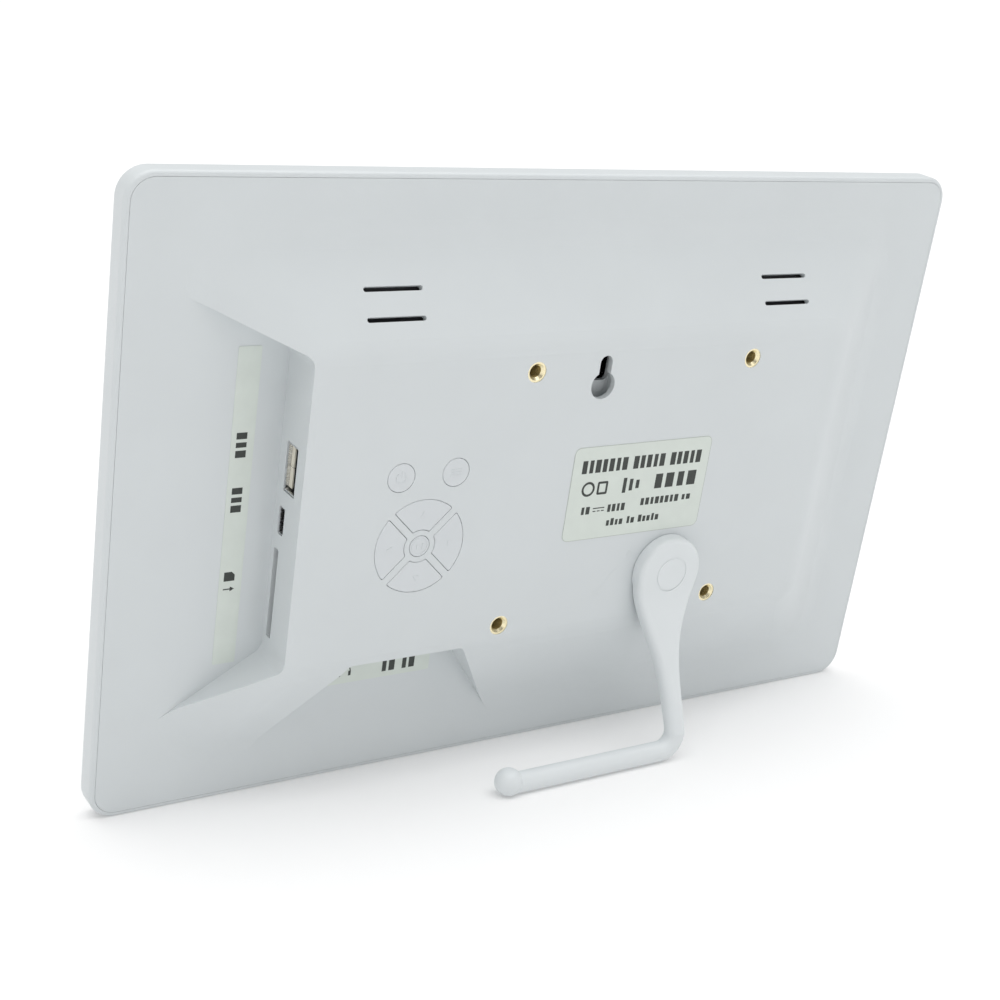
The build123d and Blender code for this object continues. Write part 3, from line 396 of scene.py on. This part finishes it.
def power_symbol():
    mesh = bmesh.new()
    plane = plane_at(*POWER_KEY, 0)
    arc_band(mesh, plane, 0, 0, 1.45, SYMBOL_LINE, 120, 420, SYMBOL_LOW, SYMBOL_HIGH)
    block(mesh, plane, 0, 1.1, SYMBOL_LINE, 1.7, SYMBOL_LOW, SYMBOL_HIGH)
    finish_piece(mesh, "power_symbol", "power_button", key_white)


def menu_symbol():
    mesh = bmesh.new()
    plane = plane_at(*MENU_KEY, 0)
    for row in (-1, 0, 1):
        block(mesh, plane, 0, row * 0.85, 3.2, SYMBOL_LINE, SYMBOL_LOW, SYMBOL_HIGH)
    finish_piece(mesh, "menu_symbol", "menu_button", key_white)


def arrow_symbol(name, turn):
    mesh = bmesh.new()
    x = PAD_CENTRE[0] + PAD_REACH * cos(radians(turn))
    y = PAD_CENTRE[1] + PAD_REACH * sin(radians(turn))
    outline = [(0.9, 0), (-0.6, 0.85), (-0.6, -0.85)]
    prism(mesh, plane_at(x, y, 0, turn), outline, SYMBOL_LOW, SYMBOL_HIGH)
    finish_piece(mesh, f"{name}_symbol", f"{name}_button", key_white)


def ok_symbol():
    mesh = bmesh.new()
    plane = plane_at(*PAD_CENTRE, 0)
    arc_band(mesh, plane, 0, 0, 2.35, 0.25, 0, 360, SYMBOL_LOW, SYMBOL_HIGH, 36)
    prism(mesh, plane, [(-0.9, 0.8), (-0.9, -0.8), (0.4, 0)], SYMBOL_LOW, SYMBOL_HIGH)
    block(mesh, plane, 0.9, 0, SYMBOL_LINE, 1.6, SYMBOL_LOW, SYMBOL_HIGH)
    finish_piece(mesh, "ok_symbol", "ok_button", key_white)


power_symbol()
menu_symbol()
ok_symbol()
for direction, turn in (("right", 0), ("up", 90), ("left", 180), ("down", 270)):
    arrow_symbol(direction, turn)


# ---- moulded marks beside the leg: open and closed lock, joined by a curved arrow ----
MARK_LOW = PLATEAU - 0.05
MARK_HIGH = PLATEAU + 0.05
MARK_LINE = 0.28
SWEEP_RADIUS = 7.2      # of the curved arrow


def lock_mark(mesh, x, y, swing):
    """Padlock whose shackle stands aside by the swing."""
    plane = plane_at(x, y, 0)
    outline_band(mesh, plane, 0, -0.6, 2.2, 1.7, 0.3, MARK_LINE, MARK_LOW, MARK_HIGH)
    arc_band(mesh, plane, swing, 0.25, 0.72, MARK_LINE, 0, 180, MARK_LOW, MARK_HIGH, 12)


def leg_marks():
    mesh = bmesh.new()
    lock_mark(mesh, 20.6, -21.4, 0.0)
    lock_mark(mesh, 10.5, -32.3, 0.9)
    plane = plane_at(20.0, -32.0, 0)
    arc_band(mesh, plane, 0, 0, SWEEP_RADIUS, 0.3, 112, 160, MARK_LOW, MARK_HIGH, 16)
    tip = plane @ Matrix.Rotation(radians(164), 4, "Z") @ Matrix.Translation((SWEEP_RADIUS, 0, 0))
    prism(mesh, tip, [(0.7, 0.7), (-0.7, 0.7), (0, -0.6)][::-1], MARK_LOW, MARK_HIGH)
    finish_piece(mesh, "leg_lock_marks", "frame", case_white)


leg_marks()


# ---- printed labels: plain strokes in place of words, and simple symbols ----
INK_LOW = -0.01
INK_HIGH = 0.012
WORD_GAP = 0.7          # gap between two words, in steps from block to block
BLOCK_WIDTHS = (0.64, 0.78, 0.56, 0.72)


def words(mesh, plane, start, end, y, lengths, size, low=1.0):
    """Plain blocks of uneven width in place of words, spread evenly from start to end."""
    step = (end - start) / (sum(lengths) + WORD_GAP * (len(lengths) - 1))
    x = start
    for length in lengths:
        for i in range(length):
            width = step * BLOCK_WIDTHS[(i * 3 + length) % 4]
            height = size * (low, low, 1.0)[(i + length) % 3]
            block(mesh, plane, x + step / 2, y - (size - height) / 2, width, height, INK_LOW, INK_HIGH)
            x += step
        x += WORD_GAP * step


def direct_current_symbol(mesh, plane, x, y, width, line):
    block(mesh, plane, x, y + 0.45, width, line, INK_LOW, INK_HIGH)
    for i in (-1, 0, 1):
        block(mesh, plane, x + i * width * 0.36, y - 0.45, width * 0.26, line, INK_LOW, INK_HIGH)


def rating_print():
    mesh = bmesh.new()
    plane = plane_at(*RATING_LABEL, PLATEAU + LABEL_TOP)
    words(mesh, plane, -21.4, 21.4, 8.2, (7, 5, 5), 3.9)
    arc_band(mesh, plane, -17.9, 1.4, 1.9, 0.7, 0, 360, INK_LOW, INK_HIGH, 28)
    outline_band(mesh, plane, -13.0, 1.4, 3.6, 4.0, 0.5, 0.7, INK_LOW, INK_HIGH)
    for i in range(3):
        block(mesh, plane, -5.2 + i * 2.3, 1.4, 1.2, 4.6 - i * 1.0, INK_LOW, INK_HIGH)
    words(mesh, plane, 5.0, 21.0, 1.6, (4,), 4.5)
    words(mesh, plane, -19.4, -16.0, -5.2, (2,), 2.3)
    direct_current_symbol(mesh, plane, -13.1, -5.2, 4.0, 0.32)
    words(mesh, plane, -10.2, -3.7, -5.2, (4,), 2.3)
    words(mesh, plane, 1.4, 15.6, -4.4, (8,), 2.2)
    words(mesh, plane, 16.4, 20.0, -4.4, (2,), 1.7)
    words(mesh, plane, -9.8, 9.4, -9.6, (4, 2, 5), 2.2, 0.78)
    finish_piece(mesh, "rating_print", "frame", ink)
    # Darker thin line along the label's edge: painted shadow.
    edge = bmesh.new()
    outline_band(edge, plane, 0, 0, 48.6, 28.4, 2.0, 0.14, INK_LOW, INK_HIGH * 0.6)
    finish_piece(edge, "rating_label_shadow_line", "frame", label_shadow_line)


def side_print():
    mesh = bmesh.new()
    for y in (16.9, 1.9):
        plane = plane_at(SIDE_LABEL_X - 0.3, y, LABEL_TOP, -90)
        words(mesh, plane, -3.7, 3.7, 0, (3,), 2.9)
    plane = plane_at(SIDE_LABEL_X - 0.4, -19.6, LABEL_TOP, -90)
    card = [(-1.3, -1.5), (1.3, -1.5), (1.3, 1.5), (-0.4, 1.5), (-1.3, 0.6)]
    prism(mesh, plane, card, INK_LOW, INK_HIGH)
    block(mesh, plane, 3.6, -0.4, 0.35, 2.2, INK_LOW, INK_HIGH)
    prism(mesh, plane, [(2.9, 0.4), (4.3, 0.4), (3.6, 1.6)], INK_LOW, INK_HIGH)
    finish_piece(mesh, "side_print", "frame", ink)


def bottom_print():
    mesh = bmesh.new()
    plane = plane_at(PHONES_X, BOTTOM_LABEL_Y + 0.8, LABEL_TOP)
    arc_band(mesh, plane, 0, 0, 1.75, 0.34, -10, 190, INK_LOW, INK_HIGH)
    for side in (-1, 1):
        block(mesh, plane, side * 1.6, -0.75, 0.8, 1.5, INK_LOW, INK_HIGH)
    plane = plane_at(POWER_X, BOTTOM_LABEL_Y + 0.4, LABEL_TOP)
    words(mesh, plane, -6.2, 5.0, 0, (2, 2), 3.3)
    finish_piece(mesh, "bottom_print", "frame", ink)


rating_print()
side_print()
bottom_print()


# ---- threads in the brass inserts, coloured darker as painted shade ----
THREAD_PITCH = 0.7
THREAD_DEPTH = 0.22
THREAD_FLANK = 0.24     # from the crest to the root, along the bore
THREAD_STEPS = 28
THREAD_LOW = PLATEAU - 5.3
THREAD_HIGH = PLATEAU - 1.0
BORE_FLOOR = THREAD_LOW - 0.25


def insert_threads():
    """Thread ridge in each insert's bore, over a floor, both in darker brass as painted shade deep in the
    bore.
    """
    mesh = bmesh.new()
    count = int((THREAD_HIGH - THREAD_LOW) / THREAD_PITCH * THREAD_STEPS)
    root = INSERT_BORE + 0.03
    profile = ((root, -THREAD_FLANK), (INSERT_BORE - THREAD_DEPTH, 0), (root, THREAD_FLANK))
    floor_outline = arc_points(0, 0, INSERT_BORE, 0, 360, THREAD_STEPS)[:-1]
    for x, y in INSERTS:
        plane = plane_at(x, y, 0)
        rows = []
        for i in range(count + 1):
            angle = 2 * pi * i / THREAD_STEPS
            depth = THREAD_LOW + THREAD_PITCH * i / THREAD_STEPS
            rows.append([
                mesh.verts.new(plane @ Vector((radius * cos(angle), radius * sin(angle), depth + shift)))
                for radius, shift in profile
            ])
        for first, second in zip(rows, rows[1:]):
            for i in range(3):
                j = (i + 1) % 3
                mesh.faces.new((first[i], first[j], second[j], second[i]))
        mesh.faces.new(rows[0][::-1])
        mesh.faces.new(rows[-1])
        # Thin disc at the bore's bottom in darker brass: painted shade.
        prism(mesh, plane, floor_outline, BORE_FLOOR, BORE_FLOOR + 0.1)
    finish_piece(mesh, "insert_threads", "frame", brass_painted_shade)


insert_threads()


# ---- contacts, tongue cap and springs of the sockets ----
TONGUE_SIDE = -1.6      # middle of the large socket's tongue, from the middle of its opening
TONGUE_FACE = TONGUE_SIDE + 0.86
MICRO_CONTACT_PITCH = 0.65
SHELL_WALL = 2.5        # inner face of the large shell's outer long wall


def socket_contacts():
    """Four contacts on the large socket's tongue and five in the small socket."""
    mesh = bmesh.new()
    plane = side_plane_at(SOCKET_MOUTH, *USB_A)
    for place in (-3.5, -1.0, 1.0, 3.5):
        block(mesh, plane, place, TONGUE_FACE, 1.0, 0.14, 3.4, 9.4, 0.04)
    plane = side_plane_at(SOCKET_MOUTH, *MICRO_USB)
    for i in range(5):
        block(mesh, plane, (i - 2) * MICRO_CONTACT_PITCH, -0.14, 0.34, 0.1, 1.8, 3.6, 0.02)
    finish_piece(mesh, "socket_contacts", "frame", contact_gold)


def tongue_cap():
    """Pale end of the large socket's tongue, in two halves."""
    mesh = bmesh.new()
    plane = side_plane_at(SOCKET_MOUTH, *USB_A)
    for side in (-1, 1):
        block(mesh, plane, side * 2.87, TONGUE_SIDE, 5.6, 1.7, 0.95, 1.35, 0.1)
    finish_piece(mesh, "usb_a_tongue_cap", "frame", cream_moulding)


def shell_springs():
    """Spring tongues pressed out of the outer long wall of the large socket."""
    mesh = bmesh.new()
    plane = side_plane_at(SOCKET_MOUTH, *USB_A)
    bow = [(0.0, 0.6), (0.0, 7.4), (-0.35, 5.0), (-0.85, 2.6), (-0.75, 1.6), (-0.2, 0.9)]
    for place in (-2.6, 2.6):
        rows = []
        for across in (-0.9, 0.9):
            rows.append([
                mesh.verts.new(plane @ Vector((place + across, SHELL_WALL + lift, along)))
                for lift, along in bow
            ])
        for i in range(len(bow)):
            j = (i + 1) % len(bow)
            mesh.faces.new((rows[0][i], rows[0][j], rows[1][j], rows[1][i]))
        mesh.faces.new(rows[0])
        mesh.faces.new(rows[1][::-1])
    finish_piece(mesh, "shell_springs", "frame", plated_steel)


socket_contacts()
tongue_cap()
shell_springs()


# ---- moulding marks of the leg: the gate on the ball and two faint rings on the bar ----
BAR_RING_RADIUS = 2.96


def leg_mould_marks():
    mesh = bmesh.new()
    towards_gate = Matrix.Rotation(radians(14), 4, "Y") @ Matrix.Rotation(radians(12), 4, "X")
    gate = PANEL @ Matrix.Translation(BALL) @ towards_gate
    arc_band(mesh, gate, 0, 0, 0.32, 0.22, 0, 360, BALL_RADIUS - 0.1, BALL_RADIUS + 0.03, 16)
    for x in (-15.6, -17.2):
        ring = side_plane_at(x, *FOOT)
        arc_band(mesh, ring, 0, 0, BAR_RING_RADIUS, 0.16, 0, 360, -0.09, 0.09, 32)
    finish_piece(mesh, "leg_mould_marks", "leg", leg_white)


leg_mould_marks()


# ---- camera, lights and floor ----
CAMERA_PLACE = (0.2757, 0.3861, 0.1969)
CAMERA_AZIMUTH = 145.909
CAMERA_ELEVATION = 13.342
CAMERA_ROLL = 2.920
CAMERA_LENS = 61.755
CAMERA_SHIFT = (-0.0172, -0.0254)
HORIZON = 1.05          # brightness of the world at the horizon and up to its first height
SKY = 0.38              # brightness of the world above the second height
SKY_HEIGHTS = (0.13, 0.32)
LIGHT_FROM = (0.0, 0.1, 2.4)
LIGHT_SPREAD = 80.0     # degrees
LIGHT_STRENGTH = 2.6
FLOOR_TONE = 0.74
FLOOR_GLOW = 0.20       # the studio table is lit from below
FLOOR_REACH = 4.0       # metres


def add_camera():
    data = bpy.data.cameras.new("camera")
    data.lens = CAMERA_LENS
    data.sensor_width = 36.0
    data.shift_x, data.shift_y = CAMERA_SHIFT
    data.clip_start, data.clip_end = 0.01, 20.0
    camera = bpy.data.objects.new("camera", data)
    turn = (
        Matrix.Rotation(radians(CAMERA_AZIMUTH), 4, "Z")
        @ Matrix.Rotation(radians(90 - CAMERA_ELEVATION), 4, "X")
        @ Matrix.Rotation(radians(CAMERA_ROLL), 4, "Z")
    )
    camera.matrix_world = Matrix.Translation(CAMERA_PLACE) @ turn
    bpy.context.scene.collection.objects.link(camera)
    bpy.context.scene.camera = camera


def add_light():
    """Broad overhead light, as even at the far end of the floor as under the object."""
    data = bpy.data.lights.new("overhead_light", "SUN")
    data.angle = radians(LIGHT_SPREAD)
    data.energy = LIGHT_STRENGTH
    light = bpy.data.objects.new("overhead_light", data)
    light.matrix_world = (-Vector(LIGHT_FROM)).to_track_quat("-Z", "Y").to_matrix().to_4x4()
    bpy.context.scene.collection.objects.link(light)


def add_floor():
    """Plain pale floor."""
    mesh = bmesh.new()
    bmesh.ops.create_grid(mesh, x_segments=8, y_segments=8, size=FLOOR_REACH)
    data = bpy.data.meshes.new("studio_floor")
    mesh.to_mesh(data)
    mesh.free()
    material, tree, shader = new_material("studio_floor", (FLOOR_TONE,) * 3, 0.85)
    texture = noise(tree, object_coordinates(tree), 30.0)
    tree.links.new(spread(tree, texture, 0.8, 0.9), shader.inputs["Roughness"])
    shader.inputs["Specular IOR Level"].default_value = 0.1
    shader.inputs["Emission Color"].default_value = (1, 1, 1, 1)
    shader.inputs["Emission Strength"].default_value = FLOOR_GLOW
    data.materials.append(material)
    floor = bpy.data.objects.new("studio_floor", data)
    bpy.context.scene.collection.objects.link(floor)


def add_world():
    """White horizon under a dimmer, even sky."""
    world = bpy.data.worlds.new("studio")
    world.use_nodes = True
    tree = world.node_tree
    background = tree.nodes["Background"]
    coordinates = tree.nodes.new("ShaderNodeTexCoord")
    height = tree.nodes.new("ShaderNodeSeparateXYZ")
    ramp = tree.nodes.new("ShaderNodeValToRGB")
    ramp.color_ramp.elements[0].position = SKY_HEIGHTS[0]
    ramp.color_ramp.elements[0].color = (HORIZON, HORIZON, HORIZON, 1)
    ramp.color_ramp.elements[1].position = SKY_HEIGHTS[1]
    ramp.color_ramp.elements[1].color = (SKY, SKY, SKY, 1)
    tree.links.new(coordinates.outputs["Generated"], height.inputs["Vector"])
    tree.links.new(height.outputs["Z"], ramp.inputs["Fac"])
    tree.links.new(ramp.outputs["Color"], background.inputs["Color"])
    bpy.context.scene.world = world


add_camera()
add_floor()
add_world()
add_light()
bpy.context.scene.view_settings.view_transform = "Standard"
